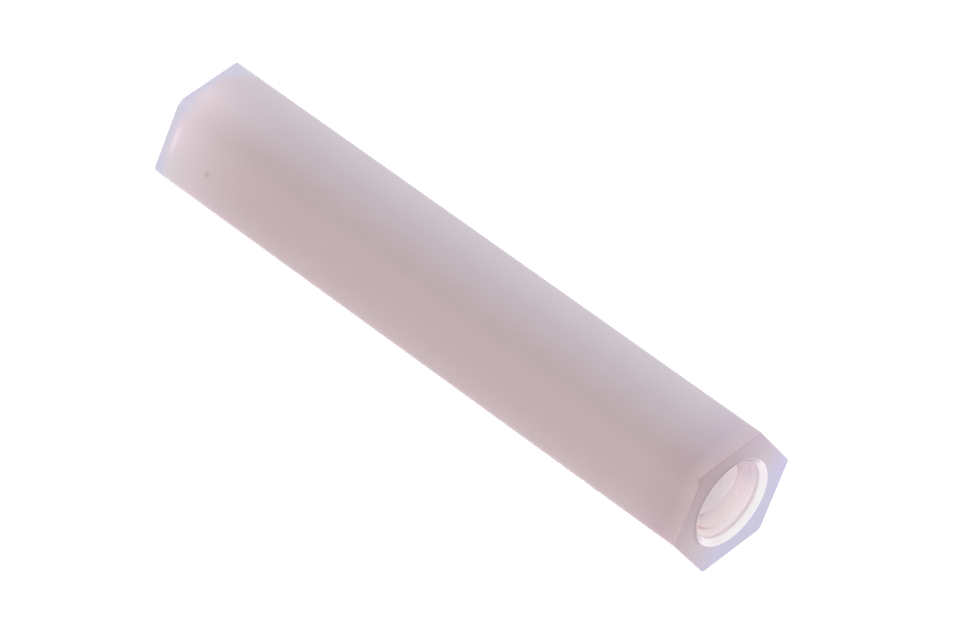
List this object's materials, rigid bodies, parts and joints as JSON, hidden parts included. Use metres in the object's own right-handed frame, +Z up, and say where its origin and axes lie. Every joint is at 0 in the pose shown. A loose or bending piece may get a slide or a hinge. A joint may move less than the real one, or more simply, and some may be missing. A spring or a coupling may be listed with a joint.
{
  "type": "hex standoff",
  "caption": "Hexagonal plastic standoff with rounded long edges and a countersunk, tapped blind hole in each end, for holding boards or panels apart.",
  "frame": {"origin": "middle of the lower flat, which the standoff lies on", "axes": "+X along the bar towards one tapped end, +Z up out of the upper flat, +Y across the corners"},
  "size_m": [0.0254, 0.0054, 0.0048],
  "materials": {
    "nylon": "natural translucent nylon, satin"
  },
  "bodies": {
    "root": {"standoff": "nylon"}
  },
  "joints": []
}
